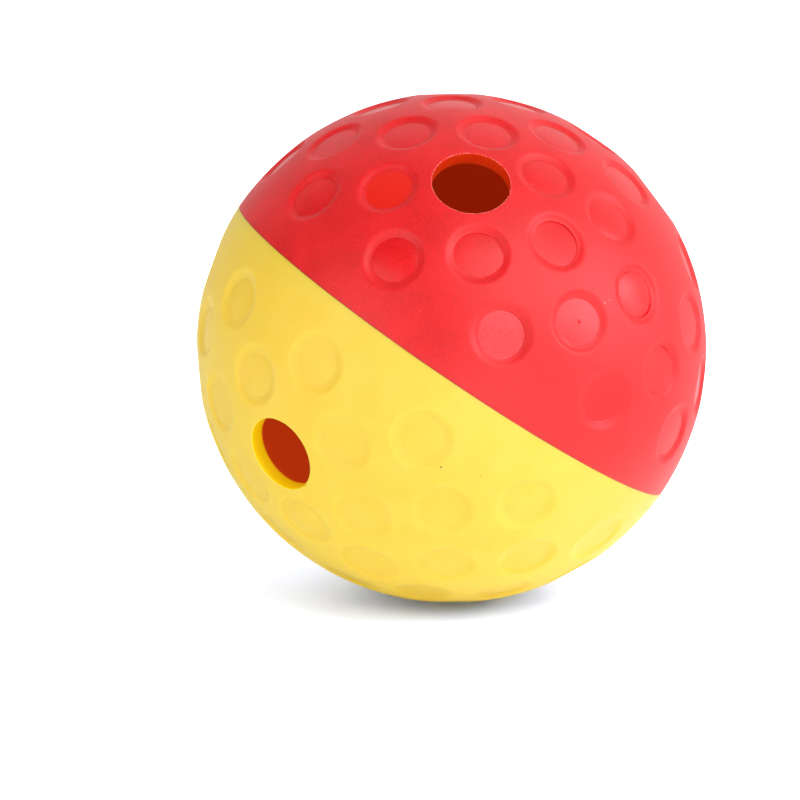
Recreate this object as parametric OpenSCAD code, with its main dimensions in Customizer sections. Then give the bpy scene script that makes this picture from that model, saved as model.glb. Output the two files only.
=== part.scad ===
// Hollow toy ball in two soft moulded halves, with one round treat hole in each half.
// It stands as it comes to rest: the axis through both poles leans over towards +X.
// The origin is the ball's centre and +Z points up from the floor under it.

/* [Ball] */
// Outer diameter of the ball
ball_d = 127; // [115:1:180]
// Thickness of the moulded wall
wall = 3.8; // [2.8:0.1:8]
// Angle from upright of the axis through both poles
pole_lean = 34.3; // [0:0.1:90]

/* [Treat holes] */
// Diameter of each treat hole
hole_d = 19; // [8:0.5:24]
// Turn of the red half's hole about the poles, away from the front of the ball
hole_turn = -34; // [-180:0.5:180]

/* [Grip dimples] */
// Diameter of a dimple at the ball's surface
dimple_d = 15.8; // [13:0.1:17]
// Diameter of the flat button in the middle of a dimple
button_d = 11.8; // [6:0.1:12.5]
// How far the sloping ring has sunk where it reaches the button
ring_depth = 0.75; // [0.3:0.05:1]
// How far the button lies below the ball's surface
button_depth = 1.05; // [1:0.05:1.6]

/* [Seam] */
// Height of the spigot that the red half puts into the yellow half
spigot_h = 4; // [2:0.1:6]
// Thickness of the spigot
spigot_t = 1.8; // [1:0.1:2.4]
// Thickness of the layer of adhesive in the joint
bond_t = 0.15; // [0.1:0.01:0.3]
// Depth of the fine groove that the joint shows on the outside
seam_depth = 0.3; // [0.1:0.05:0.6]
// Turn of the yellow half against the red half
half_turn = -1.5; // [-15:0.5:15]

/* [Smoothness] */
// Segments in the ball's own circles
ball_segments = 180; // [96:4:240]
// Segments in a dimple or a treat hole
round_segments = 48; // [32:4:96]

/* [Hidden] */

// How far each cut runs past what it cuts
overrun = 1;

// Rows of places for dimples, from the seam to the pole: the angle up from the seam,
// how many places go round, and how far the row is turned against the first one
ROW_UP = 0;
ROW_COUNT = 1;
ROW_TURN = 2;
ROWS = [
    [14.4, 12, 0],
    [26.3, 12, 15],
    [39.7, 12, 0],
    [54.6, 12, 15],
    [71, 6, 0],
    [90, 1, 0],
];
// The treat hole takes the first place of this row
HOLE_ROW = 2;
// The red half has a bare patch at this place of this row
BARE_ROW = 3;
BARE_PLACE = 2;

ball_r = ball_d / 2;
cavity_r = ball_r - wall;
dimple_r = dimple_d / 2;
button_r = button_d / 2;
hole_r = hole_d / 2;
floor_r = ball_r - button_depth;

// The joint: the spigot's outer face, the rebate round it and the groove's floor
spigot_r = cavity_r + spigot_t;
rebate_r = spigot_r + bond_t;
rebate_h = spigot_h + bond_t;
groove_r = ball_r - seam_depth;
groove_h = seam_depth / 2;

// Where a circle round a spoke of the ball meets a sphere, measured along the spoke
function reach(sphere_r, circle_r) = sqrt(pow(sphere_r, 2) - pow(circle_r, 2));

// Turn of one place in a row
function place_turn(row, i) = hole_turn + ROWS[row][ROW_TURN] + i * 360 / ROWS[row][ROW_COUNT];

function is_hole(row, i) = row == HOLE_ROW && i == 0;

function is_bare(row, i) = row == BARE_ROW && i == BARE_PLACE;

// Lean from the ball's own upright pose to the pose it rests in
module rest_pose() {
    rotate([0, pole_lean, 0]) children();
}

// Put a child that stands along +Z on a spoke of the red half
module on_spoke(up, turn) {
    rotate([0, 0, turn - 90]) rotate([0, 90 - up, 0]) children();
}

// The yellow half is the red one's mirror image, turned a little
module as_yellow() {
    rotate(half_turn) mirror([0, 0, 1]) children();
}

// Sloping ring of a dimple, opened past the ball's surface
module ring_cut() {
    low = reach(ball_r, button_r) - ring_depth;
    high = reach(ball_r, dimple_r);
    slope = (dimple_r - button_r) / (high - low);
    translate([0, 0, low])
        cylinder(
            h = high - low + overrun,
            r1 = button_r,
            r2 = dimple_r + slope * overrun,
            $fn = round_segments
        );
}

// Straight sided pocket over a dimple's button
module button_cut() {
    low = reach(floor_r, button_r) - overrun;
    translate([0, 0, low]) cylinder(h = ball_r - low + overrun, r = button_r, $fn = round_segments);
}

// All the dimples of a half, with or without one at the bare patch
module dimple_cuts(bare_patch) {
    for (row = [0 : len(ROWS) - 1])
        for (i = [0 : ROWS[row][ROW_COUNT] - 1])
            if (!is_hole(row, i) && !(bare_patch && is_bare(row, i)))
                on_spoke(ROWS[row][ROW_UP], place_turn(row, i)) {
                    ring_cut();
                    button_cut();
                }
}

// The treat hole of a half
module hole_cut() {
    low = reach(cavity_r, hole_r) - overrun;
    on_spoke(ROWS[HOLE_ROW][ROW_UP], place_turn(HOLE_ROW, 0))
        translate([0, 0, low]) cylinder(h = ball_r - low + overrun, r = hole_r, $fn = round_segments);
}

// Solid outer form of a half, whose buttons lie on a smaller sphere in the ball
module dimpled_dome(bare_patch) {
    intersection() {
        union() {
            difference() {
                sphere(r = ball_r, $fn = ball_segments);
                dimple_cuts(bare_patch);
            }
            sphere(r = floor_r, $fn = ball_segments);
        }
        cylinder(h = ball_r + overrun, r = ball_r + overrun, $fn = ball_segments);
    }
}

module cavity() {
    sphere(r = cavity_r, $fn = ball_segments);
}

// Round of the seam between two heights, out to a radius
module seam_disc(low, high, r) {
    translate([0, 0, low]) cylinder(h = high - low, r = r, $fn = ball_segments);
}

// Fine step round the outside edge of a half, which shows as the seam
module seam_step(high) {
    difference() {
        seam_disc(-overrun, high, ball_r + overrun);
        seam_disc(-2 * overrun, high + overrun, groove_r);
    }
}

// Wall of a half down to the seam, with its dimples and its hole
module half_wall(bare_patch) {
    difference() {
        dimpled_dome(bare_patch);
        cavity();
        hole_cut();
    }
}

module red_half() {
    color("#f03c3c") rest_pose() {
        difference() {
            half_wall(bare_patch = true);
            seam_step(groove_h);
        }
        difference() {
            seam_disc(-spigot_h, spigot_h, spigot_r);
            cavity();
        }
    }
}

module yellow_half() {
    color("#fde055") rest_pose() as_yellow() difference() {
        half_wall(bare_patch = false);
        seam_step(bond_t + groove_h);
        seam_disc(-overrun, rebate_h, rebate_r);
        seam_disc(-overrun, bond_t, ball_r + overrun);
    }
}

// Layer of adhesive that follows the step of the joint
module bond_ring() {
    color("#c8803a") rest_pose() {
        difference() {
            union() {
                seam_disc(-bond_t, 0, groove_r);
                seam_disc(-rebate_h, 0, rebate_r);
            }
            seam_disc(-spigot_h, overrun, spigot_r);
            cavity();
        }
    }
}

red_half();
yellow_half();
bond_ring();
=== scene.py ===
"""Looks of a hollow, dimpled treat ball of two soft moulded halves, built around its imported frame."""

import logging
import math
import random
from dataclasses import dataclass, field
from enum import Enum
from typing import Any, Callable, ClassVar, Iterable, Sequence

import bpy
import numpy as np
from bpy.types import Material, Mesh, Node, NodeSocket, NodeTree, Object
from mathutils import Matrix, Vector
from mathutils.geometry import delaunay_2d_cdt


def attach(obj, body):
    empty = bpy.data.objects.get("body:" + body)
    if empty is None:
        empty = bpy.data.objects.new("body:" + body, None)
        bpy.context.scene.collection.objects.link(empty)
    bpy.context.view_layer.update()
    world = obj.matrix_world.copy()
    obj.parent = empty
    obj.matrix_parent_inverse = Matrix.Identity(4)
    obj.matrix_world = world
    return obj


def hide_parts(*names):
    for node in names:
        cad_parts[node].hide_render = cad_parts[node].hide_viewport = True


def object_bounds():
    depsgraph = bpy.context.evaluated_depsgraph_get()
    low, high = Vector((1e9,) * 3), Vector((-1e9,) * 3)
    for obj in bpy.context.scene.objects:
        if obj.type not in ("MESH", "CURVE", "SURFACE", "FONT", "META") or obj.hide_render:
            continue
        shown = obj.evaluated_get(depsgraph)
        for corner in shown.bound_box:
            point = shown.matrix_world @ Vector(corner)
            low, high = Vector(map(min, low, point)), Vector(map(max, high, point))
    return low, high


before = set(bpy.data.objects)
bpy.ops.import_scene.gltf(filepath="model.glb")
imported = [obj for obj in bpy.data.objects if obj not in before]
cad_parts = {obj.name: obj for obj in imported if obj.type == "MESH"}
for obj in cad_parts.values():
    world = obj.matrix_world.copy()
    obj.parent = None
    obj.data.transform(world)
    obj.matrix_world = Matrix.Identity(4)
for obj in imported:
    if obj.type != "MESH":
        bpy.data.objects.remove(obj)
CAD_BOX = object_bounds()

LOG = logging.getLogger("treat_ball")
MM = 0.001
BODY = "root"
# About a full turn in radians, within which the phase of each wave is drawn
ANY_PHASE = 6.28
ROUNDING = 1e-6

# Adds a shader node by its type's short name, inputs and settings, and gives its outputs
Adder = Callable[..., Any]


class Half(Enum):
    """The two mouldings, each by the name of its CAD node."""

    RED = "red_half"
    YELLOW = "yellow_half"


@dataclass(frozen=True)
class BallSizes:
    """Real sizes of the ball, in metres, and its angles, in degrees."""

    radius: float = 63.5 * MM
    wall: float = 3.8 * MM
    pole_lean: float = 34.3
    hole_radius: float = 9.5 * MM
    hole_up: float = 39.7
    hole_turn: float = -34.0
    hole_edge: float = 0.1 * MM
    yellow_turn: float = -1.5
    spigot_height: float = 4.0 * MM
    spigot_thickness: float = 1.8 * MM
    bond: float = 0.15 * MM
    seam_depth: float = 0.3 * MM
    seam_gap: float = 0.01 * MM
    seam_edge: float = 0.08 * MM

    @property
    def cavity(self) -> float:
        """Radius of the hollow inside."""
        return self.radius - self.wall


@dataclass(frozen=True)
class DimpleSizes:
    """Sizes of one grip dimple: a soft shoulder, a sloping ring and a low button in its middle."""

    shoulder: float = 8.3 * MM
    button: float = 5.9 * MM
    step: float = 0.12 * MM
    ring_depth: float = 0.93 * MM
    button_depth: float = 1.05 * MM
    ring_bend: float = 1.2
    crown_bend: float = 3.0
    button_bend: float = 1.5
    ring_rows: int = 9
    button_rows: int = 8
    segments: int = 48


@dataclass(frozen=True)
class GateMark:
    """Sizes of the small pit with a raised lip that the mould's gate leaves on one button."""

    pit: float = 0.35 * MM
    pit_depth: float = 0.35 * MM
    lip: float = 0.75 * MM
    lip_height: float = 0.12 * MM
    foot: float = 1.3 * MM


@dataclass(frozen=True)
class Button:
    """How one dimple's button came out of the mould.

    It bulges by crown in its middle. Its edge stands proud by to_seam on the side of the seam and by onward
    on the side of the row's next place, and as much low on the other side. The thin-wall glow and the wear
    go from 0 to 1; the glow is painted, a deeper colour that stands in for light through a thin wall.
    """

    crown: float = 0.2 * MM
    to_seam: float = 0.0
    onward: float = 0.0
    thin: float = 0.0
    worn: float = 0.0
    gated: bool = False


def pressed(crown: float, to_seam: float, onward: float, **more: Any) -> Button:
    """A button by its rises in millimetres."""
    return Button(crown * MM, to_seam * MM, onward * MM, **more)


@dataclass(frozen=True)
class Nick:
    """A small nick that the trimming tool left in the edge of a treat hole."""

    turn: float
    depth: float = 0.25 * MM
    width: float = 0.5 * MM


@dataclass(frozen=True)
class DimpleRow:
    """One row of places round a pole. A place in buttons differs from the others, and None is no dimple."""

    up: float
    places: int
    turn: float
    buttons: dict[int, Button | None] = field(default_factory=dict)


@dataclass(frozen=True)
class MeshSpacing:
    """How finely the skins are meshed."""

    seam_segments: int = 360
    hole_segments: int = 192
    land: float = 1.7 * MM
    lining: float = 3.2 * MM
    weld: float = 0.01 * MM


def srgb(hex_colour: str) -> tuple[float, float, float, float]:
    """Turn an sRGB hex colour into linear RGBA.

    Args:
        hex_colour: Six hex digits with a leading hash.

    Returns:
        The linear colour with an alpha of 1.
    """
    parts = [int(hex_colour[i : i + 2], 16) / 255 for i in (1, 3, 5)]
    linear = [c / 12.92 if c <= 0.04045 else ((c + 0.055) / 1.055) ** 2.4 for c in parts]
    return (*linear, 1.0)


def add_node(tree: NodeTree, kind: str, inputs: dict | None = None, **settings: Any) -> Node:
    """Add a node with its settings and links.

    Args:
        tree: The tree that the node goes into.
        kind: Blender's name of the node type.
        inputs: Input name or number to a value, or to an output socket that it is linked from.
        settings: Properties of the node itself.

    Returns:
        The new node.
    """
    node = tree.nodes.new(kind)
    for name, value in settings.items():
        setattr(node, name, value)
    for key, value in (inputs or {}).items():
        if isinstance(value, NodeSocket):
            tree.links.new(value, node.inputs[key])
        else:
            node.inputs[key].default_value = value
    return node


def shader_nodes(owner: Material | bpy.types.World) -> tuple[Adder, NodeSocket]:
    """Empty the nodes of a material or a world.

    Args:
        owner: The material or world.

    Returns:
        A function that adds a shader node and gives its outputs, and the place that the patterns read.
    """
    owner.use_nodes = True
    tree = owner.node_tree
    tree.nodes.clear()

    def add(kind: str, inputs: dict | None = None, **settings: Any) -> Any:
        """Add a node by its type's name without the word shader node."""
        return add_node(tree, f"ShaderNode{kind}", inputs, **settings).outputs

    return add, add("TexCoord")["Object"]


def stand(name: str, data: Any) -> Object:
    """Put new data into the scene as an object.

    Args:
        name: Name of the object.
        data: Its mesh, lamp or camera.

    Returns:
        The object.
    """
    made = bpy.data.objects.new(name, data)
    bpy.context.scene.collection.objects.link(made)
    return made


def mark_points(mesh: Mesh, values: dict[str, Any]) -> None:
    """Give each point of a mesh named numbers."""
    for name, column in values.items():
        mesh.attributes.new(name, "FLOAT", "POINT").data.foreach_set("value", column)


def seen_from(azimuth: float, elevation: float) -> Vector:
    """Direction from the ball to where it is seen or lit from, by degrees from the front and up."""
    a, e = math.radians(azimuth), math.radians(elevation)
    return Vector((math.sin(a) * math.cos(e), -math.cos(a) * math.cos(e), math.sin(e)))


def reach(sphere_radius: float, circle_radius: float) -> float:
    """How far along a spoke a circle round it meets a sphere."""
    return math.sqrt(sphere_radius**2 - circle_radius**2)


def spoke(up: float, turn: float) -> Matrix:
    """Rotation that takes +Z to a place on the ball.

    Args:
        up: Degrees up from the seam.
        turn: Degrees round the poles from the front.

    Returns:
        A four by four rotation.
    """
    lean = Matrix.Rotation(math.radians(90 - up), 4, "Y")
    return Matrix.Rotation(math.radians(turn - 90), 4, "Z") @ lean


def circle(radius: float, height: float, count: int) -> np.ndarray:
    """Points of a level circle round Z.

    Args:
        radius: Radius of the circle.
        height: Height of its plane.
        count: How many points it has.

    Returns:
        An array of count by 3.
    """
    turns = np.arange(count) * 2 * math.pi / count
    return np.stack([radius * np.cos(turns), radius * np.sin(turns), np.full(count, height)], axis=1)


def moved(points: np.ndarray, matrix: Matrix) -> np.ndarray:
    """Points turned and shifted by a matrix."""
    m = np.array(matrix)
    return points @ m[:3, :3].T + m[:3, 3]


class Skin:
    """A mesh that grows ring by ring."""

    # How far a skin's own points stay off the seam and the gaps, in parts of their spacing
    SEAM_MARGIN = 0.6
    GAP_MARGIN = 0.55
    SAME_POINT = 1e-9

    def __init__(self) -> None:
        """Start with nothing."""
        self.points: list[tuple[float, float, float]] = []
        self.faces: list[tuple[int, ...]] = []

    def ring(self, points: np.ndarray) -> list[int]:
        """Add points and give their numbers.

        Args:
            points: Places of the ring's points, in order.

        Returns:
            Their numbers in the skin.
        """
        first = len(self.points)
        self.points += [tuple(p) for p in points]
        return list(range(first, len(self.points)))

    def bridge(self, first: Sequence[int], second: Sequence[int]) -> None:
        """Join two closed rings of as many points with four-sided faces."""
        for a, b in enumerate(np.roll(range(len(first)), -1)):
            self.faces.append((first[a], first[b], second[b], second[a]))

    def lathe(
        self,
        start: Sequence[int],
        profile: Iterable[tuple[float, float]],
        place: Matrix,
        outside: bool = False,
    ) -> list[int]:
        """Carry a ring on through a profile.

        Args:
            start: The ring that the first new ring joins.
            profile: Radius and height of each further ring, before it is placed.
            place: Where the profile's axis goes.
            outside: True if a profile that goes down is an outside, and not the wall of a hollow.

        Returns:
            The last ring.
        """
        last = list(start)
        for radius, height in profile:
            new = self.ring(moved(circle(radius, height, len(last)), place))
            self.bridge(*((new, last) if outside else (last, new)))
            last = new
        return last

    def stretch(self, radius: float, rims: list[list[int]], spacing: float, inward: bool = False) -> None:
        """Stretch a triangle skin over a sphere between rims.

        The first rim is the open edge round the seam and the others are round gaps. The sphere is laid flat
        by a projection that keeps circles round, so the triangles stay even.

        Args:
            radius: Radius of the sphere.
            rims: Rings that already lie on the sphere.
            spacing: Distance between the skin's own points.
            inward: True if the skin faces the centre.
        """
        gaps = [self._gap(rim, radius) for rim in rims[1:]]
        floor = min(self.points[i][2] for i in rims[0])
        margin = self.GAP_MARGIN * spacing / radius
        kept_out = [(direction, radius * math.cos(angle + margin)) for direction, angle in gaps]
        loose = [p for p in scatter(radius, spacing) if p[2] > floor + spacing * self.SEAM_MARGIN]
        loose = [p for p in loose if all(p @ direction < limit for direction, limit in kept_out)]
        numbers = [i for rim in rims for i in rim]
        rim_of = {i: n for n, rim in enumerate(rims) for i in rim}
        edges, at = [], 0
        for rim in rims:
            edges += [(at + k, at + (k + 1) % len(rim)) for k in range(len(rim))]
            at += len(rim)
        numbers += self.ring(np.array(loose))
        flat = [Vector((x, y)) / (radius + z) for x, y, z in (self.points[i] for i in numbers)]
        found = delaunay_2d_cdt(flat, edges, [], 0, self.SAME_POINT)
        corners = {new: numbers[old[0]] for new, old in enumerate(found[3])}
        for face in found[2]:
            triangle = [corners[v] for v in face]
            homes = {rim_of.get(i, 0) for i in triangle}
            first = triangle.index(min(triangle))
            # A triangle in a rim's gap runs the same way round as the rim, and one in a nick the other way
            if len(homes) == 1 and homes != {0} and triangle[first - 2] < triangle[first - 1]:
                continue
            self.faces.append(tuple(reversed(triangle)) if inward else tuple(triangle))

    def _gap(self, rim: Sequence[int], radius: float) -> tuple[np.ndarray, float]:
        """Direction and angular radius of a round rim.

        Args:
            rim: The rim's points by number.
            radius: Radius of the sphere that it lies on.

        Returns:
            The direction of its middle, and the angle from there to the rim.
        """
        points = np.array([self.points[i] for i in rim])
        middle = points.mean(axis=0)
        direction = middle / np.linalg.norm(middle)
        return direction, math.acos(min(1.0, float(points[0] @ direction) / radius))

    def mesh(self, name: str) -> Mesh:
        """The skin as a mesh.

        Args:
            name: Name of the mesh.

        Returns:
            A new mesh.
        """
        made = bpy.data.meshes.new(name)
        made.from_pydata(self.points, [], self.faces)
        made.validate()
        return made


def scatter(radius: float, spacing: float) -> np.ndarray:
    """Even points over a whole sphere, on a spiral that never repeats.

    Args:
        radius: Radius of the sphere.
        spacing: Distance between neighbours.

    Returns:
        The points.
    """
    count = int(4 * math.pi * radius**2 / (spacing**2 * math.sqrt(3) / 2))
    steps = np.arange(count) + 0.5
    height = 1 - 2 * steps / count
    turn = steps * math.pi * (1 + math.sqrt(5))
    level = np.sqrt(1 - height**2)
    return radius * np.stack([level * np.cos(turn), level * np.sin(turn), height], axis=1)


@dataclass(frozen=True)
class GripDimple:
    """One dimple as a round patch on a spoke, to be repeated over a half."""

    ball: BallSizes
    sizes: DimpleSizes
    gate: GateMark

    def rim(self) -> tuple[float, float]:
        """Radius and height of the patch's edge, which lies on the ball."""
        return self.sizes.shoulder, reach(self.ball.radius, self.sizes.shoulder)

    def ring(self) -> list[tuple[float, float]]:
        """Radius and height of the sloping ring's own rings, from the shoulder to the button.

        Returns:
            The rings, the outer one first.
        """
        s, rows = self.sizes, []
        for k in range(1, s.ring_rows + 1):
            share = k / s.ring_rows
            radius = s.shoulder + (s.button - s.shoulder) * share
            bent = share**s.ring_bend
            # A smooth step, level at the shoulder and at the button
            sunk = s.ring_depth * bent * bent * (3 - 2 * bent)
            rows.append((radius, reach(self.ball.radius, radius) - sunk))
        return rows

    def button(self, gated: bool) -> list[tuple[float, float]]:
        """Radius and height of the button's rings, from its edge to near its middle.

        Args:
            gated: True for the button that has the gate's mark.

        Returns:
            The rings, the outer one first.
        """
        s, g = self.sizes, self.gate
        floor, edge = self.ball.radius - s.button_depth, s.button - s.step
        shares = [1 - (k / s.button_rows) ** s.button_bend for k in range(s.button_rows)]
        rows = [(edge * share, reach(floor, edge * share)) for share in shares]
        if gated:
            rows = [row for row in rows if row[0] > g.foot]
            marks = [(g.foot, 0.0), (g.lip, g.lip_height), (g.pit, 0.0), (g.pit / 2, -g.pit_depth)]
            rows += [(radius, reach(floor, radius) + rise) for radius, rise in marks]
        return rows

    def build(self, name: str, gated: bool) -> Object:
        """Make the patch, with the shares of its button's crown and lean at each point as attributes.

        Args:
            name: Name of the object.
            gated: True for the one with the gate's mark.

        Returns:
            An unlinked object with the patch.
        """
        skin = Skin()
        start = skin.ring(circle(*self.rim(), self.sizes.segments))
        button = self.button(gated)
        last = skin.lathe(start, [*self.ring(), *button], Matrix.Identity(4))
        (tip,) = skin.ring(np.array([[0, 0, button[-1][1]]]))
        for a, b in zip(last, [*last[1:], last[0]]):
            skin.faces.append((a, b, tip))
        mesh = skin.mesh(name)
        across = np.array(skin.points)[:, :2] / (self.sizes.button - self.sizes.step)
        radii = np.hypot(*across.T)
        on_button = radii < 1 + ROUNDING
        values = {
            "crown_share": np.where(on_button, 1 - np.minimum(radii, 1) ** self.sizes.crown_bend, 0),
            "seam_share": np.where(on_button, across[:, 0], 0),
            "onward_share": np.where(on_button, across[:, 1], 0),
            "on_button": on_button.astype(float),
        }
        mark_points(mesh, values)
        return bpy.data.objects.new(name, mesh)


@dataclass(frozen=True)
class DimplePlaces:
    """Every place of a half that has a dimple, as points that the nodes read."""

    rows: Sequence[DimpleRow]
    seed: int
    crowns: tuple[float, float] = (-0.05 * MM, 0.3 * MM)

    def each(self) -> Iterable[tuple[float, float, Button]]:
        """Angle up from the seam, turn and button of each dimple.

        Returns:
            The places, row by row.
        """
        chance = random.Random(self.seed)
        for row in self.rows:
            for i in range(row.places):
                usual = Button(crown=chance.uniform(*self.crowns))
                button = row.buttons.get(i, usual)
                if button is not None:
                    yield row.up, row.turn + i * 360 / row.places, button

    def build(self, name: str) -> Object:
        """Make the points, all at the ball's centre, with their angles and buttons as attributes.

        Args:
            name: Name of the object.

        Returns:
            An object in the scene that shows nothing.
        """
        places = list(self.each())
        mesh = bpy.data.meshes.new(name)
        mesh.from_pydata([(0, 0, 0)] * len(places), [], [])
        values = {
            "lean": [math.radians(90 - up) for up, _, _ in places],
            "turn": [math.radians(turn - 90) for _, turn, _ in places],
            "gated": [float(button.gated) for _, _, button in places],
        }
        for key in ("crown", "to_seam", "onward", "thin", "worn"):
            values[key] = [getattr(button, key) for _, _, button in places]
        mark_points(mesh, values)
        return stand(name, mesh)


class DimpleNodes:
    """Geometry Nodes that set a dimple at each place of a wall, crown its button and weld it in."""

    INPUTS = {
        "Wall": "NodeSocketGeometry",
        "Places": "NodeSocketObject",
        "Dimple": "NodeSocketObject",
        "Gate dimple": "NodeSocketObject",
        "Weld": "NodeSocketFloat",
        "Sag": "NodeSocketFloat",
        "Sag length": "NodeSocketFloat",
        "Seam calm": "NodeSocketFloat",
        "Finish": "NodeSocketMaterial",
    }
    # Each rise of a button, and the share of it that a point of the dimple takes
    RISES = {"crown": "crown_share", "to_seam": "seam_share", "onward": "onward_share"}

    def __init__(self) -> None:
        """Build the tree."""
        self.tree = bpy.data.node_groups.new("press_dimples", "GeometryNodeTree")
        for name, kind in self.INPUTS.items():
            self.tree.interface.new_socket(name, in_out="INPUT", socket_type=kind)
        self.tree.interface.new_socket("Half", in_out="OUTPUT", socket_type="NodeSocketGeometry")
        given = self.add("NodeGroupInput")
        joined = add_node(self.tree, "GeometryNodeJoinGeometry", {0: given["Wall"]})
        for patch, gated in (("Dimple", 0.0), ("Gate dimple", 1.0)):
            self.tree.links.new(self.set_patches(given["Places"], given[patch], gated), joined.inputs[0])
        real = self.add("GeometryNodeRealizeInstances", {0: joined.outputs[0]})[0]
        lifted = {"Geometry": real, "Offset": self.rise(given)}
        crowned = self.add("GeometryNodeSetPosition", lifted)[0]
        weld = {"Geometry": crowned, "Distance": given["Weld"]}
        welded = self.add("GeometryNodeMergeByDistance", weld)[0]
        finish = {"Geometry": welded, "Material": given["Finish"]}
        self.add("NodeGroupOutput", {0: self.add("GeometryNodeSetMaterial", finish)[0]})

    def add(self, kind: str, inputs: dict | None = None, **settings: Any) -> Any:
        """Add a node to this tree and give its outputs."""
        return add_node(self.tree, kind, inputs, **settings).outputs

    def read(self, name: str) -> NodeSocket:
        """A named number of each point."""
        return self.add("GeometryNodeInputNamedAttribute", {"Name": name}, data_type="FLOAT")[0]

    def set_patches(self, places: NodeSocket, patch: NodeSocket, gated: float) -> NodeSocket:
        """Stand a patch on the spoke of each place that is gated, or of each that isn't.

        Args:
            places: The object with the places.
            patch: The dimple's object.
            gated: 1 for the places with the gate's mark, 0 for the others.

        Returns:
            The patches as instances.
        """
        points = self.add("GeometryNodeObjectInfo", {"Object": places})["Geometry"]
        shape = self.add("GeometryNodeObjectInfo", {"Object": patch})["Geometry"]
        spin = self.add("ShaderNodeCombineXYZ", {"Y": self.read("lean"), "Z": self.read("turn")})[0]
        fits = self.add("ShaderNodeMath", {0: self.read("gated"), 1: gated}, operation="COMPARE")[0]
        inputs = {"Points": points, "Instance": shape, "Rotation": spin, "Selection": fits}
        return self.add("GeometryNodeInstanceOnPoints", inputs)[0]

    def rise(self, given: Any) -> NodeSocket:
        """How far each point moves out: its button's crown and lean, less the soft wall's slight sag.

        Args:
            given: The tree's own inputs.

        Returns:
            The offset of each point.
        """
        up = 0.0
        for whole, part in self.RISES.items():
            terms = {0: self.read(whole), 1: self.read(part), 2: up}
            up = self.add("ShaderNodeMath", terms, operation="MULTIPLY_ADD")[0]
        place = self.add("GeometryNodeInputPosition")[0]
        scale = self.add("ShaderNodeMath", {0: 1.0, 1: given["Sag length"]}, operation="DIVIDE")[0]
        waves = self.add("ShaderNodeTexNoise", {"Vector": place, "Scale": scale, "Detail": 1.0})[0]
        height = self.add("ShaderNodeSeparateXYZ", {0: place})["Z"]
        away = self.add("ShaderNodeMath", {0: height}, operation="ABSOLUTE")[0]
        calm = self.add("ShaderNodeMapRange", {"Value": away, "From Max": given["Seam calm"]})[0]
        share = self.add("ShaderNodeMath", {0: waves, 1: calm}, operation="MULTIPLY")[0]
        sag = self.add("ShaderNodeMath", {0: share, 1: given["Sag"]}, operation="MULTIPLY")[0]
        lift = self.add("ShaderNodeMath", {0: up, 1: sag}, operation="SUBTRACT")[0]
        out = self.add("ShaderNodeVectorMath", {0: place}, operation="NORMALIZE")[0]
        return self.add("ShaderNodeVectorMath", {0: out, "Scale": lift}, operation="SCALE")[0]

    def press(self, wall: Object, values: dict[str, Any]) -> Mesh:
        """Run the tree on a wall.

        Args:
            wall: Object with the wall, open where the dimples go.
            values: Value of each of the tree's inputs by name.

        Returns:
            A plain mesh.
        """
        modifier = wall.modifiers.new("press_dimples", "NODES")
        modifier.node_group = self.tree
        for item in self.tree.interface.items_tree:
            if item.in_out == "INPUT" and item.name in values:
                modifier[item.identifier] = values[item.name]
        bpy.context.view_layer.update()
        graph = bpy.context.evaluated_depsgraph_get()
        made = bpy.data.meshes.new_from_object(wall.evaluated_get(graph))
        wall.modifiers.remove(modifier)
        return made


@dataclass(frozen=True)
class Speck:
    """A small grain in the surface: scorched resin, or pale dust that was moulded in."""

    place: tuple[float, float, float]
    radius: float
    colour: str = "#4a3a08"


def speck(x: float, y: float, z: float, radius: float, *colour: str) -> Speck:
    """A speck by its place and its radius in millimetres."""
    return Speck((x * MM, y * MM, z * MM), radius * MM, *colour)


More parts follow.
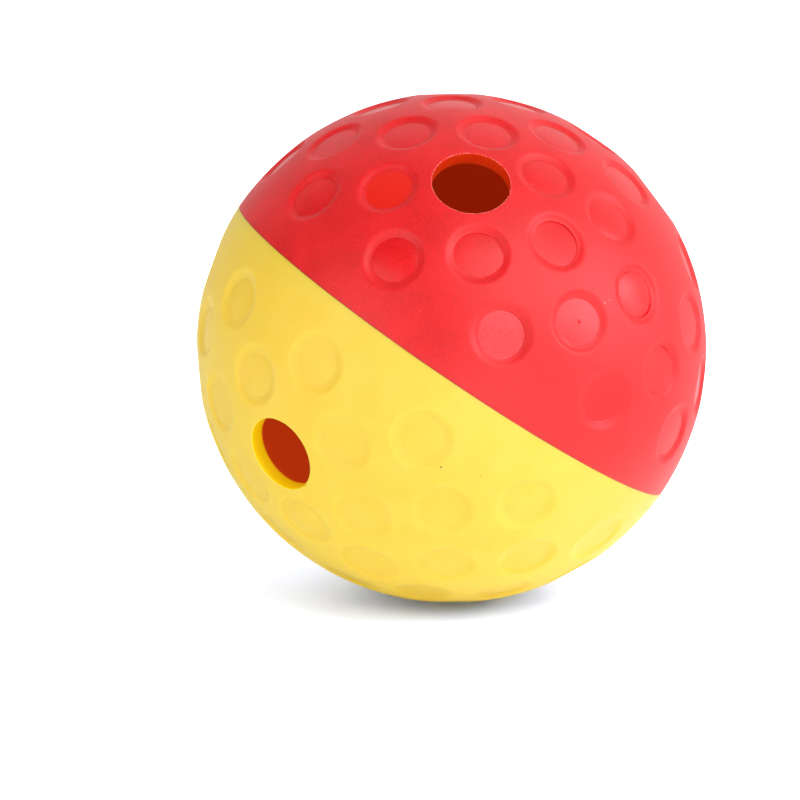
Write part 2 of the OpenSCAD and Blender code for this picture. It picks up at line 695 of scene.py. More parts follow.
@dataclass(frozen=True)
class SoftVinyl:
    """Soft vinyl, moulded in a finely blasted mould: even colour, a fine dull grain and a broad sheen.

    The buttons were formed by polished pins, so they shine more than the wall round them. Light passes a
    little way into the wall: its glow is painted, as emission and a deeper colour on the cut wall of the
    hole, and as a deeper colour on buttons where the wall is thin. The rounded edge of the hole's mouth
    carries a painted highlight. Inside the ball only light that has come through the red half or bounced
    off it is left, so the lining of both halves is painted deep red, with a painted red glow. The blasted
    grain is about 0.1 mm, and is drawn coarser so that it shows.
    """

    name: str
    colour: str
    deep_colour: str
    # Painted glow colour of buttons with a thin wall, for light that comes through them
    thin_wall_glow_colour: str
    worn_colour: str
    # Painted colour of the hole's wall, deeper for the light that passes into it
    hole_wall_glow_colour: str
    scatter_colour: tuple[float, float, float]
    specks: tuple[Speck, ...] = ()
    ior: float = 1.52
    roughness: float = 0.45
    button_roughness: float = 0.3
    gloss: float = 0.5
    scatter: float = 0.6
    scatter_depth: float = 1.5 * MM
    grain: float = 0.45 * MM
    grain_height: float = 0.02 * MM
    cloud: float = 9.0 * MM
    mottle: float = 0.35
    scuff_grain: tuple[float, float] = (0.1, 0.8)
    mouth_highlight_grain: tuple[float, float] = (0.4, 0.6)
    fleck: float = 0.0
    fleck_chance: float = 0.5
    fleck_apart: float = 3.2 * MM
    fleck_radius: float = 0.16 * MM
    fleck_colour: str = "#ffb4ac"
    # Painted red light and a painted red glow (emission) on the lining of the hollow
    lining_light_colour: str = "#b02404"
    painted_lining_glow: float = 0.22
    # Painted glow of the hole's wall, as emission
    painted_hole_wall_glow: float = 0.2
    lining_edge: float = 0.5 * MM
    # Strength and colour of the painted highlight on the rounded edge of the hole's mouth
    mouth_highlight_share: float = 0.0
    mouth_highlight_colour: str = "#ffa89e"

    def material(self, cavity: float) -> Material:
        """Build the material.

        Args:
            cavity: Radius of the hollow, inside which a face is lining.

        Returns:
            The material.
        """
        made = bpy.data.materials.new(self.name)
        add, place = shader_nodes(made)
        fine = {"Vector": place, "Scale": 1 / self.grain, "Detail": 2.0, "Roughness": 0.6}
        grain = add("TexNoise", fine)[0]
        button = add("Attribute", attribute_name="on_button")["Fac"]
        worn = self.on_buttons(add, button, "worn")
        polish = add("Math", {0: button, 1: worn}, operation="SUBTRACT")[0]
        dull = {"Value": polish, "To Min": self.roughness, "To Max": self.button_roughness}
        roughness = add("MapRange", dull)[0]
        inside, edge = self.inside(add, place, cavity), self.hole_wall_glow_share(add)
        colour = self.outer(add, place, grain, worn, self.on_buttons(add, button, "thin"))
        # Painted glow colour on the hole's wall
        colour = self.blend(add, edge, colour, srgb(self.hole_wall_glow_colour))
        # Painted highlight on the rounded edge of the hole's mouth
        colour = self.blend(add, self.mouth_highlight(add, grain), colour, srgb(self.mouth_highlight_colour))
        # Painted red light: the lining's colour stands in for light that came through the red half
        colour = self.blend(add, inside, colour, srgb(self.lining_light_colour))
        painted_glow_colour = self.blend(add, inside, srgb(self.hole_wall_glow_colour), srgb(self.lining_light_colour))
        # Painted glow: emission on the hole's wall and on the lining, for light that came through the wall
        painted_hole_wall_glow = add("Math", {0: edge, 1: self.painted_hole_wall_glow}, operation="MULTIPLY")[0]
        glows = {"Value": inside, "To Min": painted_hole_wall_glow, "To Max": self.painted_lining_glow}
        look = {
            "Base Color": colour,
            "Roughness": roughness,
            "IOR": self.ior,
            "Specular IOR Level": self.gloss,
            "Subsurface Weight": self.scatter,
            "Subsurface Radius": self.scatter_colour,
            "Subsurface Scale": self.scatter_depth,
            "Normal": add("Bump", {"Height": grain, "Distance": self.grain_height})[0],
            "Emission Color": painted_glow_colour,
            "Emission Strength": add("MapRange", glows)[0],
        }
        add("OutputMaterial", {"Surface": add("BsdfPrincipled", look)[0]})
        return made

    def outer(self, add: Adder, place: Any, grain: Any, worn: Any, thin: Any) -> NodeSocket:
        """Colour of the outer skin: faint clouds and grain, worn buttons, a painted glow on thin buttons,
        and specks.

        Args:
            add: Adds a shader node and gives its outputs.
            place: Where on the ball a point lies.
            grain: Level of the fine grain.
            worn: How worn the point is.
            thin: Share of the painted glow, a deeper colour for light through a thin wall.

        Returns:
            The colour.
        """
        coarse = {"Vector": place, "Scale": 1 / self.cloud, "Detail": 2.0}
        cloud = add("TexNoise", coarse)[0]
        both = {0: grain, 1: self.mottle, 2: cloud}
        mixed = add("Math", both, operation="MULTIPLY_ADD")[0]
        # Both noises lie about a half, so their sum lies about this, and strays about as far as wide
        middle = 0.5 + 0.5 * self.mottle
        wide = 0.25 + 0.125 * self.mottle
        spread = {"Value": mixed, "From Min": middle - wide, "From Max": middle + wide}
        share = add("MapRange", spread)[0]
        colour = self.blend(add, share, srgb(self.deep_colour), srgb(self.colour))
        # Painted glow: buttons with a thin wall take a deeper colour
        colour = self.blend(add, thin, colour, srgb(self.thin_wall_glow_colour))
        scuffs = self.broken(add, grain, self.scuff_grain, 1.0)
        scuffed = add("Math", {0: worn, 1: scuffs}, operation="MULTIPLY")[0]
        colour = self.blend(add, scuffed, colour, srgb(self.worn_colour))
        if self.fleck:
            colour = self.blend(add, self.flecks(add, place), colour, srgb(self.fleck_colour))
        for grit in self.specks:
            colour = self.speckle(add, place, grit, colour)
        return colour

    def flecks(self, add: Adder, place: Any) -> NodeSocket:
        """Sparse pale grains of dust: one near the middle of each cell that a chance picks.

        Args:
            add: Adds a shader node and gives its outputs.
            place: Where on the ball a point lies.

        Returns:
            How much of the dust's colour shows.
        """
        cells = add("TexVoronoi", {"Vector": place, "Scale": 1 / self.fleck_apart})
        size = self.fleck_radius / self.fleck_apart
        near = {"Value": cells["Distance"], "From Min": size, "From Max": size / 2, "To Max": self.fleck}
        shows = add("MapRange", near)[0]
        chance = add("SeparateColor", {0: cells["Color"]})[0]
        picked = add("Math", {0: chance, 1: self.fleck_chance}, operation="GREATER_THAN")[0]
        return add("Math", {0: shows, 1: picked}, operation="MULTIPLY")[0]

    def blend(self, add: Adder, share: Any, first: Any, second: Any) -> NodeSocket:
        """Mix two colours by a share."""
        return add("Mix", {0: share, 6: first, 7: second}, data_type="RGBA")[2]

    def broken(self, add: Adder, grain: Any, between: tuple[float, float], most: float) -> NodeSocket:
        """A share that the grain breaks up: it rises from 0 to the most between two levels of the grain."""
        levels = {"Value": grain, "From Min": between[0], "From Max": between[1], "To Max": most}
        return add("MapRange", levels)[0]

    def on_buttons(self, add: Adder, button: Any, name: str) -> NodeSocket:
        """A named number of each dimple, on its button alone."""
        read = add("Attribute", attribute_name=name)["Fac"]
        return add("Math", {0: read, 1: button}, operation="MULTIPLY")[0]

    def hole_wall_glow_share(self, add: Adder) -> NodeSocket:
        """1 on the wall of the treat hole, which takes a painted glow and a deeper painted colour, and 0
        elsewhere.
        """
        return add("Attribute", attribute_name="in_hole")["Fac"]

    def mouth_highlight(self, add: Adder, grain: Any) -> NodeSocket:
        """Share of the painted highlight on the rounded edge of the hole's mouth, broken by the grain.

        Args:
            add: Adds a shader node and gives its outputs.
            grain: Level of the fine grain.

        Returns:
            How much of the painted highlight's colour shows.
        """
        mouth = add("Attribute", attribute_name="at_mouth")["Fac"]
        share = self.broken(add, grain, self.mouth_highlight_grain, self.mouth_highlight_share)
        return add("Math", {0: mouth, 1: share}, operation="MULTIPLY")[0]

    def inside(self, add: Adder, place: Any, cavity: float) -> NodeSocket:
        """1 on the lining of the hollow, which takes painted red light and a painted glow, and 0 further
        out.

        Args:
            add: Adds a shader node and gives its outputs.
            place: Where on the ball a point lies.
            cavity: Radius of the hollow.

        Returns:
            The share of lining.
        """
        radius = add("VectorMath", {0: place}, operation="LENGTH")["Value"]
        edges = {"Value": radius, "From Min": cavity + self.lining_edge, "From Max": cavity}
        return add("MapRange", edges)[0]

    def speckle(self, add: Adder, place: Any, grit: Speck, under: Any) -> NodeSocket:
        """Lay one speck over a colour.

        Args:
            add: Adds a shader node and gives its outputs.
            place: Where on the ball a point lies.
            grit: The speck.
            under: The colour below it.

        Returns:
            The colour with the speck.
        """
        far = add("VectorMath", {0: place, 1: grit.place}, operation="DISTANCE")["Value"]
        edges = {"Value": far, "From Min": grit.radius, "From Max": grit.radius / 2}
        shows = add("MapRange", edges)[0]
        return self.blend(add, shows, under, srgb(grit.colour))


@dataclass(frozen=True)
class CuredAdhesive:
    """Amber contact adhesive, squeezed thin and cured: it shows only as a dark, uneven line."""

    name: str = "amber_adhesive_cured"
    colour: str = "#cc3c0c"
    deep_colour: str = "#9c240a"
    ior: float = 1.5
    roughness: float = 0.4
    bead: float = 2.5 * MM

    def material(self) -> Material:
        """Build the material.

        Returns:
            The material.
        """
        made = bpy.data.materials.new(self.name)
        add, place = shader_nodes(made)
        beads = add("TexNoise", {"Vector": place, "Scale": 1 / self.bead})[0]
        tones = {0: beads, 6: srgb(self.colour), 7: srgb(self.deep_colour)}
        colour = add("Mix", tones, data_type="RGBA")[2]
        look = {"Base Color": colour, "Roughness": self.roughness, "IOR": self.ior}
        add("OutputMaterial", {"Surface": add("BsdfPrincipled", look)[0]})
        return made


@dataclass(frozen=True)
class BondLayer:
    """The adhesive in the stepped joint, whose bead was squeezed out to just under the ball's surface."""

    ball: BallSizes
    finish: CuredAdhesive
    segments: int = 360
    below: float = 0.08 * MM
    uneven: float = 0.02 * MM
    waves: tuple[int, ...] = (11, 23, 41, 67)
    seed: int = 7
    sharp: float = 50.0

    def outline(self) -> list[tuple[float, float]]:
        """Radius and height of each corner of the layer's cross-section, the bead's two corners first.

        Returns:
            The corners in order, all round.
        """
        b = self.ball
        side, foot = b.cavity + b.spigot_thickness, -b.spigot_height
        return [
            (b.radius - self.below, -b.bond),
            (b.radius - self.below, 0.0),
            (side, 0.0),
            (side, foot),
            (reach(b.cavity, foot), foot),
            (reach(b.cavity, foot - b.bond), foot - b.bond),
            (side + b.bond, foot - b.bond),
            (side + b.bond, -b.bond),
        ]

    def build(self) -> Object:
        """Make, dress and place the layer.

        Returns:
            The finished object.
        """
        skin, chance = Skin(), np.random.default_rng(self.seed)
        turns = np.arange(self.segments) * 2 * math.pi / self.segments
        swings = (np.sin(turns * waves + chance.uniform(0, ANY_PHASE)) for waves in self.waves)
        bead = sum(swings) * self.uneven
        rings = []
        for number, (radius, height) in enumerate(self.outline()):
            ring = circle(radius, height, self.segments)
            if number < 2:
                ring[:, :2] *= (1 + bead / radius)[:, None]
            rings.append(skin.ring(ring))
        for first, second in zip(rings, [*rings[1:], rings[0]]):
            skin.bridge(first, second)
        mesh = skin.mesh("bond_layer")
        mesh.transform(Matrix.Rotation(math.radians(self.ball.pole_lean), 4, "Y"))
        mesh.materials.append(self.finish.material())
        mesh.shade_smooth()
        mesh.set_sharp_from_angle(angle=math.radians(self.sharp))
        made = stand(mesh.name, mesh)
        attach(made, BODY)
        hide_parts("bond_ring")
        return made


@dataclass
class HalfShell:
    """One moulded half of the ball."""

    # First and last ring of the hole that carry each mark for the finish
    MARKED: ClassVar = {"in_hole": (3, -2), "at_mouth": (1, 2)}
    # Shares of the top and the bottom of the hole's wall at the rings between them
    HOLE_LEVELS: ClassVar = ((0.6, 0.4), (0.2, 0.8))
    EDGE_RINGS: ClassVar = 4
    MOUTH_SEED: ClassVar = {Half.RED: 8, Half.YELLOW: 11}
    MOUTH_WAVES: ClassVar = (9, 17, 31, 47)

    half: Half
    ball: BallSizes
    dimple: GripDimple
    places: DimplePlaces
    finish: SoftVinyl
    spacing: MeshSpacing
    nicks: tuple[Nick, ...] = ()
    ragged: float = 0.03 * MM
    sag: float = 0.25 * MM
    sag_length: float = 16.0 * MM
    seam_calm: float = 8.0 * MM
    sharp: float = 50.0

    def seam_low(self) -> float:
        """Height of the half's seam face."""
        return 0.0 if self.half is Half.RED else self.ball.bond

    def seam_top(self) -> float:
        """Height of the fine groove's side."""
        return self.seam_low() + self.ball.seam_gap

    def seam_profile(self) -> list[tuple[float, float]]:
        """Radius and height of each ring from the outer skin's edge to the lining's edge.

        Returns:
            The rings' radii and heights in order.
        """
        b = self.ball
        low, groove_top = self.seam_low(), self.seam_top()
        groove = b.radius - b.seam_depth
        turns = np.linspace(0, math.pi / 2, 5)[1:]
        rows = [
            (b.radius - b.seam_edge * (1 - math.cos(a)), groove_top + b.seam_edge * (1 - math.sin(a)))
            for a in turns
        ]
        rows += [(groove, groove_top), (groove, low)]
        if self.half is Half.RED:
            side, foot = b.cavity + b.spigot_thickness, -b.spigot_height
        else:
            side, foot = b.cavity + b.spigot_thickness + b.bond, b.spigot_height + b.bond
        return rows + [(side, low), (side, foot), (reach(b.cavity, abs(foot)), foot)]

    def wall(self) -> Object:
        """The half without its dimples: outer skin, seam, lining and the wall of the hole.

        Returns:
            An object with a round gap for each dimple.
        """
        b, s, skin = self.ball, self.spacing, Skin()
        rim_height = self.seam_top() + b.seam_edge
        rim = skin.ring(circle(reach(b.radius, rim_height), rim_height, s.seam_segments))
        lining_rim = skin.lathe(rim, self.seam_profile(), Matrix.Identity(4), outside=True)
        gaps = [rim]
        edge = circle(*self.dimple.rim(), self.dimple.sizes.segments)
        for up, turn, _ in self.places.each():
            gaps.append(skin.ring(moved(edge, spoke(up, turn))))
        place = spoke(b.hole_up, b.hole_turn)
        rings = [moved(ring, place) for ring in self.hole_rings()]
        numbers = [skin.ring(ring) for ring in rings]
        for above, below in zip(numbers, numbers[1:]):
            skin.bridge(above, below)
        skin.stretch(b.radius, [*gaps, numbers[0]], s.land)
        skin.stretch(b.cavity, [lining_rim, numbers[-1]], s.lining, inward=True)
        name = f"{self.half.value}_wall"
        mesh = skin.mesh(name)
        for key, (first, last) in self.MARKED.items():
            marked = np.zeros(len(skin.points))
            marked[numbers[first][0] : numbers[last][-1] + 1] = 1
            mark_points(mesh, {key: marked})
        return stand(name, mesh)

    def hole_rings(self) -> list[np.ndarray]:
        """Rings of the hole, from the ball's surface over the mouth's soft edge and down to the lining.

        Returns:
            The rings' points, upright round the hole's axis.
        """
        b, count = self.ball, self.spacing.hole_segments
        wide = b.hole_radius + b.hole_edge
        low = reach(b.cavity, wide)
        worn = self.mouth_wear(count)
        outer = circle(1.0, 0.0, count) * (wide + b.hole_edge + worn)[:, None]
        outer[:, 2] = np.sqrt(b.radius**2 - (wide + b.hole_edge + worn) ** 2)
        rings = [outer]
        for a in np.linspace(0, math.pi / 2, self.EDGE_RINGS):
            radii = wide - b.hole_edge * math.sin(a) + worn
            ring = circle(1.0, 0.0, count) * radii[:, None]
            ring[:, 2] = np.sqrt(b.radius**2 - (wide + worn) ** 2) - b.hole_edge * (1 - math.cos(a))
            rings.append(ring)
        for above, below in self.HOLE_LEVELS:
            rings.append(circle(b.hole_radius, reach(b.radius, wide) * above + low * below, count))
        for a in np.linspace(0, math.pi / 2, self.EDGE_RINGS):
            height = low + b.hole_edge * (1 - math.sin(a))
            rings.append(circle(wide - b.hole_edge * math.cos(a), height, count))
        return rings

    def mouth_wear(self, count: int) -> np.ndarray:
        """How far the mouth's edge is trimmed back at each point: a little everywhere, more at nicks.

        Args:
            count: How many points the mouth has.

        Returns:
            A distance for each point.
        """
        chance = np.random.default_rng(self.MOUTH_SEED[self.half])
        turns = np.arange(count) * 360 / count
        worn = np.zeros(count)
        for waves in self.MOUTH_WAVES:
            worn += self.ragged * 0.5 * np.sin(np.radians(turns * waves) + chance.uniform(0, ANY_PHASE))
        for nick in self.nicks:
            apart = np.abs((turns - nick.turn + 180) % 360 - 180)
            across = np.radians(apart) * self.ball.hole_radius / (nick.width / 2)
            worn += nick.depth * np.maximum(0, 1 - across)
        return worn

    def to_rest(self) -> Matrix:
        """From the half's own upright place to where it lies.

        Returns:
            A four by four matrix.
        """
        lean = Matrix.Rotation(math.radians(self.ball.pole_lean), 4, "Y")
        if self.half is Half.RED:
            return lean
        turn = Matrix.Rotation(math.radians(self.ball.yellow_turn), 4, "Z")
        return lean @ turn @ Matrix.Diagonal((1, 1, -1, 1))

    def build(self, nodes: DimpleNodes) -> Object:
        """Make, dress and place the half.

        Args:
            nodes: The nodes that set the dimples.

        Returns:
            The finished object.
        """
        piece, places = self.wall(), self.places.build(f"{self.half.value}_places")
        plain, gate = self.dimple.build("dimple", False), self.dimple.build("gate_dimple", True)
        values = {
            "Dimple": plain,
            "Gate dimple": gate,
            "Places": places,
            "Weld": self.spacing.weld,
            "Sag": self.sag,
            "Sag length": self.sag_length,
            "Seam calm": self.seam_calm,
            "Finish": self.finish.material(self.ball.cavity),
        }
        made = nodes.press(piece, values)
        made.transform(self.to_rest())
        if self.half is Half.YELLOW:
            made.flip_normals()
        made.shade_smooth()
        made.set_sharp_from_angle(angle=math.radians(self.sharp))
        wall, piece.data = piece.data, made
        for used in (wall, places.data, plain.data, gate.data):
            bpy.data.meshes.remove(used)
        piece.name = made.name = f"{self.half.value}_moulding"
        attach(piece, BODY)
        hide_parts(self.half.value)
        return piece


class TreatBall:
    """The whole ball: two moulded halves and the adhesive between them."""

    YELLOW_SPECKS = (
        speck(-9.13, -60.58, -16.69, 0.38),
        speck(0.3, -60.55, -19.12, 0.3, "#8a6a14"),
        speck(-12.53, -59.65, -17.81, 0.22, "#b08a20"),
        speck(-42.39, -45.16, 13.99, 0.2, "#9a7a18"),
    )
    RED_SPECKS = (
        speck(32.6, -50.2, 21.1, 0.2, "#ffb8b0"),
        speck(31.3, -51.2, 20.6, 0.2, "#ffc8c0"),
        speck(35.6, -46.9, 23.8, 0.22, "#ffc8c0"),
    )

    BUTTONS = {
        Half.RED: (
            {
                0: pressed(0.27, 0.05, -0.03), 1: pressed(0.0, 0.15, -0.15, worn=0.6),
                2: pressed(-0.35, -0.08, 0.1), 3: pressed(-0.05, 0.0, 0.24), 11: pressed(0.15, 0.18, -0.08),
            },
            {
                0: pressed(0.0, 0.1, 0.25), 1: pressed(0.1, 0.08, 0.2, worn=0.3, gated=True),
                2: pressed(0.0, 0.28, 0.28), 10: pressed(-0.1, 0.03, -0.28),
                11: pressed(0.03, -0.1, -0.12, thin=1.0),
            },
            {
                0: None, 1: pressed(-0.05, 0.25, 0.0), 2: pressed(0.45, -0.28, -0.1),
                3: pressed(-0.07, -0.06, 0.26), 11: pressed(0.1, -0.03, -0.04),
            },
            {
                0: pressed(0.3, -0.02, 0.06), 1: pressed(0.3, -0.05, 0.08), 2: None,
                10: pressed(0.35, -0.04, -0.11), 11: pressed(0.06, -0.05, -0.08),
            },
            {
                0: pressed(0.2, -0.22, -0.11), 1: pressed(0.0, -0.14, 0.23),
            },
        ),
        Half.YELLOW: (
            {
                0: pressed(0.0, -0.06, -0.05), 1: pressed(0.05, 0.04, 0.03), 2: pressed(0.2, 0.13, 0.08),
                3: pressed(-0.3, -0.06, 0.25), 11: pressed(0.0, -0.06, 0.0),
            },
            {
                0: pressed(0.0, 0.03, 0.02), 1: pressed(0.0, 0.04, 0.07), 2: pressed(-0.1, -0.1, 0.22),
                10: pressed(0.2, -0.09, 0.08), 11: pressed(0.0, -0.23, -0.18),
            },
            {
                0: None, 1: pressed(0.0, -0.18, 0.04), 2: pressed(0.0, -0.12, 0.24),
                11: pressed(0.02, -0.2, -0.22),
            },
            {
                0: pressed(0.25, -0.19, 0.0), 1: pressed(-0.25, -0.15, 0.18), 2: pressed(-0.35, -0.08, 0.0),
                11: pressed(0.0, -0.12, -0.04),
            },
            {},
        ),
    }

    def __init__(self) -> None:
        """Set the sizes that the halves share."""
        self.ball = BallSizes()
        self.dimples = {
            Half.RED: DimpleSizes(),
            Half.YELLOW: DimpleSizes(step=0.5 * MM, ring_depth=0.8 * MM),
        }
        self.spacing = MeshSpacing()
        self.finishes = {
            Half.RED: SoftVinyl(
                "red_soft_vinyl_moulded",
                colour="#ea181e",
                deep_colour="#ce070a",
                # Painted glow colour of buttons with a thin wall
                thin_wall_glow_colour="#e41a04",
                worn_colour="#ee5a60",
                # Painted glow colour and painted glow of the hole's wall
                hole_wall_glow_colour="#d02e00",
                scatter_colour=(1.0, 0.2, 0.15),
                specks=self.RED_SPECKS,
                gloss=0.42,
                mottle=2.0,
                # Painted highlight on the hole's mouth
                mouth_highlight_share=0.8,
                fleck=0.35,
                # Painted red light on the lining, and its painted glow
                lining_light_colour="#b03206",
                painted_lining_glow=0.23,
                painted_hole_wall_glow=0.12,
            ),
            Half.YELLOW: SoftVinyl(
                "yellow_soft_vinyl_moulded",
                colour="#f0ca48",
                deep_colour="#eec538",
                # Painted glow colour of buttons with a thin wall
                thin_wall_glow_colour="#f8c410",
                worn_colour="#ffe27a",
                # Painted glow colour and painted glow of the hole's wall
                hole_wall_glow_colour="#f0cc00",
                scatter_colour=(1.0, 0.9, 0.3),
                specks=self.YELLOW_SPECKS,
                button_roughness=0.4,
                scatter=0.85,
                scatter_depth=2.4 * MM,
                grain_height=0.008 * MM,
                # Painted red light on the lining, and its painted glow
                lining_light_colour="#b83c0e",
                painted_lining_glow=0.55,
                painted_hole_wall_glow=0.2,
            ),
        }
        self.nicks = {
            Half.RED: (
                Nick(114.0, 0.4 * MM, 0.7 * MM),
                Nick(106.0, 0.3 * MM),
                Nick(99.0, 0.2 * MM),
                Nick(125.0, 0.25 * MM),
            ),
            Half.YELLOW: (Nick(-100.0, 0.2 * MM), Nick(112.0, 0.5 * MM, 0.9 * MM)),
        }

    def rows(self, half: Half) -> list[DimpleRow]:
        """The rows of a half, without dimples at the hole's place and at the red half's bare patch.

        Args:
            half: The half.

        Returns:
            Its rows from the seam to the pole.
        """
        turn, buttons = self.ball.hole_turn, self.BUTTONS[half]
        return [
            DimpleRow(14.4, 12, turn, buttons[0]),
            DimpleRow(26.3, 12, turn + 15, buttons[1]),
            DimpleRow(39.7, 12, turn, buttons[2]),
            DimpleRow(54.6, 12, turn + 15, buttons[3]),
            DimpleRow(71.0, 6, turn, buttons[4]),
            DimpleRow(90.0, 1, turn),
        ]

    def build(self) -> list[Object]:
        """Make every piece.

        Returns:
            The finished objects.
        """
        nodes, made = DimpleNodes(), []
        for seed, half in enumerate(Half, start=1):
            dimple = GripDimple(self.ball, self.dimples[half], GateMark())
            places = DimplePlaces(self.rows(half), seed)
            finish, nicks = self.finishes[half], self.nicks[half]
            shell = HalfShell(half, self.ball, dimple, places, finish, self.spacing, nicks)
            piece = shell.build(nodes)
            LOG.info("%s: %d faces", piece.name, len(piece.data.polygons))
            made.append(piece)
        made.append(BondLayer(self.ball, CuredAdhesive()).build())
        LOG.info("%s: %d faces", made[-1].name, len(made[-1].data.polygons))
        return made


@dataclass(frozen=True)
class SoftLight:
    """One soft box: where it stands, how large it is and how bright."""

    name: str
    azimuth: float
    elevation: float
    distance: float
    width: float
    height: float
    power: float
    colour: str = "#ffffff"

    def build(self, aim: Vector) -> Object:
        """Make the lamp, aimed at a point.

        Args:
            aim: The point that it faces.

        Returns:
            The lamp's object.
        """
        lamp = bpy.data.lights.new(self.name, "AREA")
        lamp.shape = "RECTANGLE"
        lamp.size, lamp.size_y = self.width, self.height
        lamp.energy = self.power
        lamp.color = srgb(self.colour)[:3]
        made = stand(self.name, lamp)
        back = seen_from(self.azimuth, self.elevation)
        made.location = aim + back * self.distance
        made.rotation_euler = (-back).to_track_quat("-Z", "Y").to_euler()
        return made


@dataclass(frozen=True)
class Camera:
    """The photograph's view: where it looks from and where the ball's middle lies in the picture."""

    azimuth: float = -5.74
    elevation: float = 12.0
    distance: float = 1.27
    focal_pixels: float = 5101.6
    picture: float = 800.0
    ball_x: float = 451.3
    ball_y: float = 347.9
    sensor: float = 36.0

    def build(self) -> Object:
        """Make the camera, moved sideways until the ball's middle falls on its pixel.

        Returns:
            The camera's object.
        """
        back = seen_from(self.azimuth, self.elevation)
        turn = (-back).to_track_quat("-Z", "Y")
        per_pixel = self.distance / self.focal_pixels
        aside = Vector((self.picture / 2 - self.ball_x, self.ball_y - self.picture / 2, 0)) * per_pixel
        data = bpy.data.cameras.new("photo_view")
        data.sensor_width = self.sensor
        data.lens = self.focal_pixels * self.sensor / self.picture
        data.clip_start, data.clip_end = 0.1, 20.0
        made = stand("photo_view", data)
        made.location = back * self.distance + turn @ aside
        made.rotation_mode = "QUATERNION"
        made.rotation_quaternion = turn
        bpy.context.scene.camera = made
        return made


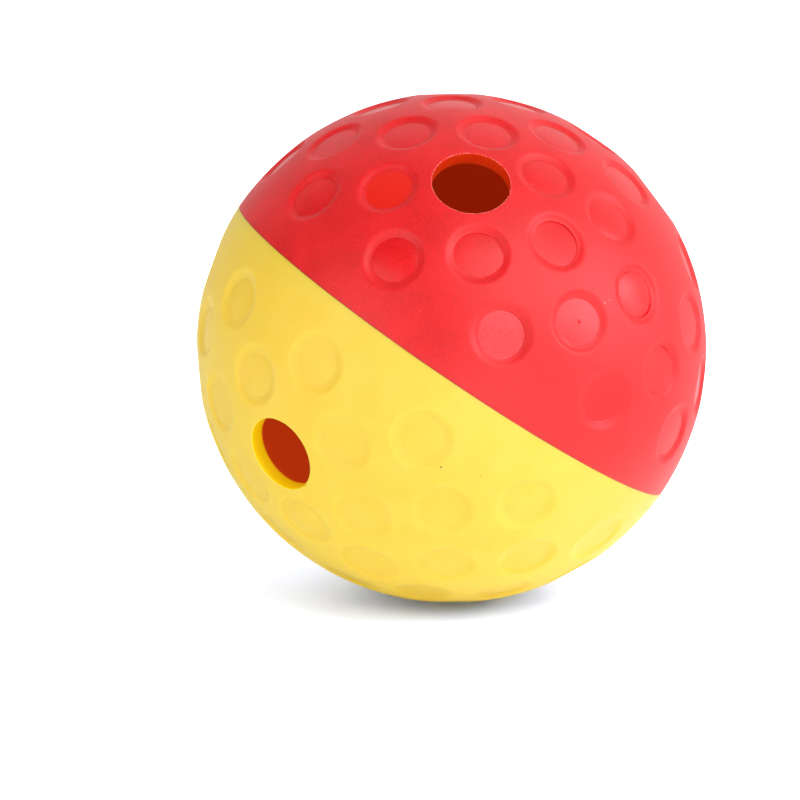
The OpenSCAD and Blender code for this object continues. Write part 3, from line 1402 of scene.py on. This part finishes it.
class Studio:
    """White floor and surroundings, soft boxes and the camera."""

    LIGHTS = (
        SoftLight("left_box", -50.0, 18.0, 1.0, 0.8, 0.8, 3.0),
        SoftLight("right_box", 70.0, 8.0, 1.0, 0.8, 0.8, 3.3, "#f2f5ff"),
        SoftLight("upper_right_box", 30.0, 40.0, 1.0, 0.8, 0.8, 5.0),
        SoftLight("low_front_box", 8.0, 0.0, 1.0, 0.8, 0.2, 1.3),
        SoftLight("small_right_box", 70.0, 27.0, 1.0, 0.45, 0.45, 1.9, "#eaf0ff"),
    )
    # Diffuse light of the surroundings, from in front and from behind the ball, and where the second begins
    SURROUND = 0.38
    BACKDROP = 1.0
    BACKDROP_FROM = -0.3
    # Where the surroundings mirror brightest in the ball's gloss, and how far to both sides they are graded
    BRIGHT_SIDE = (0.85, 0.53, 0.0)
    GRADED = 0.6
    FLOOR_SIZE = 8.0
    # Tones of the paper that the camera sees, by the distance from the ball's foot. They are above 1 as the
    # lamps are weak. They are lower near the foot, which is painted shadow that makes the shade round the
    # foot deeper and tighter, and blue there, which paints out the yellow light that comes by way of the
    # yellow half
    PAPER_TONES_WITH_PAINTED_SHADOW = ((0.015, (0.92, 1.16, 2.42)), (0.04, (1.29, 1.5, 2.36)), (0.1, (1.6, 1.58, 1.58)))
    # From where to where the paper turns plain white
    PAPER_WHITE = (0.04, 0.35)
    # Tone with which the paper lights the ball's underside
    BOUNCE = (1.02, 1.2, 1.2)
    # How bright the paper mirrors in the gloss: in a band to the right of the foot, and away from it
    GLEAM = (1.0, 0.42)
    GLEAM_MIDDLE = 0.05
    GLEAM_REACH = 0.15

    def build(self) -> None:
        """Make the floor, the lights, the surroundings and the camera."""
        self.floor()
        for light in self.LIGHTS:
            light.build(Vector((0, 0, 0)))
        self.world()
        Camera().build()
        bpy.context.scene.view_settings.view_transform = "Standard"

    def floor(self) -> None:
        """White floor just under the ball, which keeps its shadow."""
        low = CAD_BOX[0].z
        half = self.FLOOR_SIZE / 2
        corners = [(-half, -half, low), (half, -half, low), (half, half, low), (-half, half, low)]
        mesh = bpy.data.meshes.new("floor")
        mesh.from_pydata(corners, [], [(0, 1, 2, 3)])
        mesh.materials.append(self.paper())
        stand("floor", mesh)

    def paper(self) -> Material:
        """White studio paper, which reads otherwise to the camera, in the ball's gloss and as a light.
        To the camera it carries painted shadow round the ball's foot.

        Returns:
            The material.
        """
        made = bpy.data.materials.new("white_studio_paper")
        add, place = shader_nodes(made)
        level = add("VectorMath", {0: place, 1: (1, 1, 0)}, operation="MULTIPLY")[0]
        far = add("VectorMath", {0: level}, operation="LENGTH")["Value"]
        path = add("LightPath")
        seen = path["Is Camera Ray"]
        for kind in ("Is Glossy Ray", "Is Transmission Ray"):
            seen = add("Math", {0: seen, 1: path[kind]}, operation="MAXIMUM")[0]
        (start, first), *further = self.PAPER_TONES_WITH_PAINTED_SHADOW
        colour, away = (*first, 1), (*self.PAPER_TONES_WITH_PAINTED_SHADOW[-1][1], 1)
        for end, tone in further:
            part = add("MapRange", {"Value": far, "From Min": start, "From Max": end})[0]
            tones = {0: part, 6: colour, 7: (*tone, 1)}
            colour = add("Mix", tones, data_type="RGBA")[2]
            start = end
        for share, other in ((path["Is Camera Ray"], away), (seen, (*self.BOUNCE, 1))):
            colour = add("Mix", {0: share, 6: other, 7: colour}, data_type="RGBA")[2]
        gleam = self.gleam(add, place, path["Is Glossy Ray"])
        colour = add("VectorMath", {0: colour, "Scale": gleam}, operation="SCALE")[0]
        matte = add("BsdfDiffuse", {"Color": colour})[0]
        edges = {"Value": far, "From Min": self.PAPER_WHITE[0], "From Max": self.PAPER_WHITE[1]}
        strength = add("MapRange", edges)[0]
        for share in (seen, gleam):
            strength = add("Math", {0: strength, 1: share}, operation="MULTIPLY")[0]
        glow = add("Emission", {"Strength": strength})[0]
        both = add("AddShader", {0: matte, 1: glow})[0]
        add("OutputMaterial", {"Surface": both})
        return made

    def gleam(self, add: Adder, place: Any, glossy: Any) -> NodeSocket:
        """How bright the paper mirrors in the ball's gloss, and 1 for all other light.

        Args:
            add: Adds a shader node and gives its outputs.
            place: Where on the floor a point lies.
            glossy: 1 for a ray that the gloss mirrors.

        Returns:
            The share.
        """
        side = add("SeparateXYZ", {0: place})["X"]
        aside = add("Math", {0: side, 1: self.GLEAM_MIDDLE}, operation="SUBTRACT")[0]
        aside = add("Math", {0: aside}, operation="ABSOLUTE")[0]
        near, away = self.GLEAM
        band = {"Value": aside, "From Max": self.GLEAM_REACH, "To Min": near, "To Max": away}
        mirrored = add("MapRange", band)[0]
        return add("MapRange", {"Value": glossy, "To Min": 1.0, "To Max": mirrored})[0]

    def world(self) -> None:
        """Pale surroundings that show as plain white."""
        world = bpy.data.worlds.new("white_surround")
        bpy.context.scene.world = world
        add, way = shader_nodes(world)
        path = add("LightPath")
        rays = {0: path["Is Camera Ray"], 1: path["Is Transmission Ray"]}
        seen = add("Math", rays, operation="MAXIMUM")[0]
        side = {0: way, 1: self.BRIGHT_SIDE}
        facing = add("VectorMath", side, operation="DOT_PRODUCT")["Value"]
        grades = {"Value": facing, "From Min": -self.GRADED, "From Max": self.GRADED}
        graded = add("MapRange", grades)[0]
        behind = add("SeparateXYZ", {0: way})["Y"]
        levels = {"From Min": self.BACKDROP_FROM, "To Min": self.SURROUND, "To Max": self.BACKDROP}
        soft = add("MapRange", {"Value": behind, **levels})[0]
        kinds = {"Value": path["Is Glossy Ray"], "To Min": soft, "To Max": graded}
        gloss = add("MapRange", kinds)[0]
        strength = add("MapRange", {"Value": seen, "To Min": gloss, "To Max": 1.0})[0]
        back = add("Background", {"Color": (1, 1, 1, 1), "Strength": strength})[0]
        add("OutputWorld", {"Surface": back})


def main() -> None:
    """Build the ball and the studio."""
    logging.basicConfig(level=logging.INFO, format="%(name)s %(message)s")
    ball = TreatBall()
    ball.build()
    Studio().build()


if __name__ == "__main__":
    main()
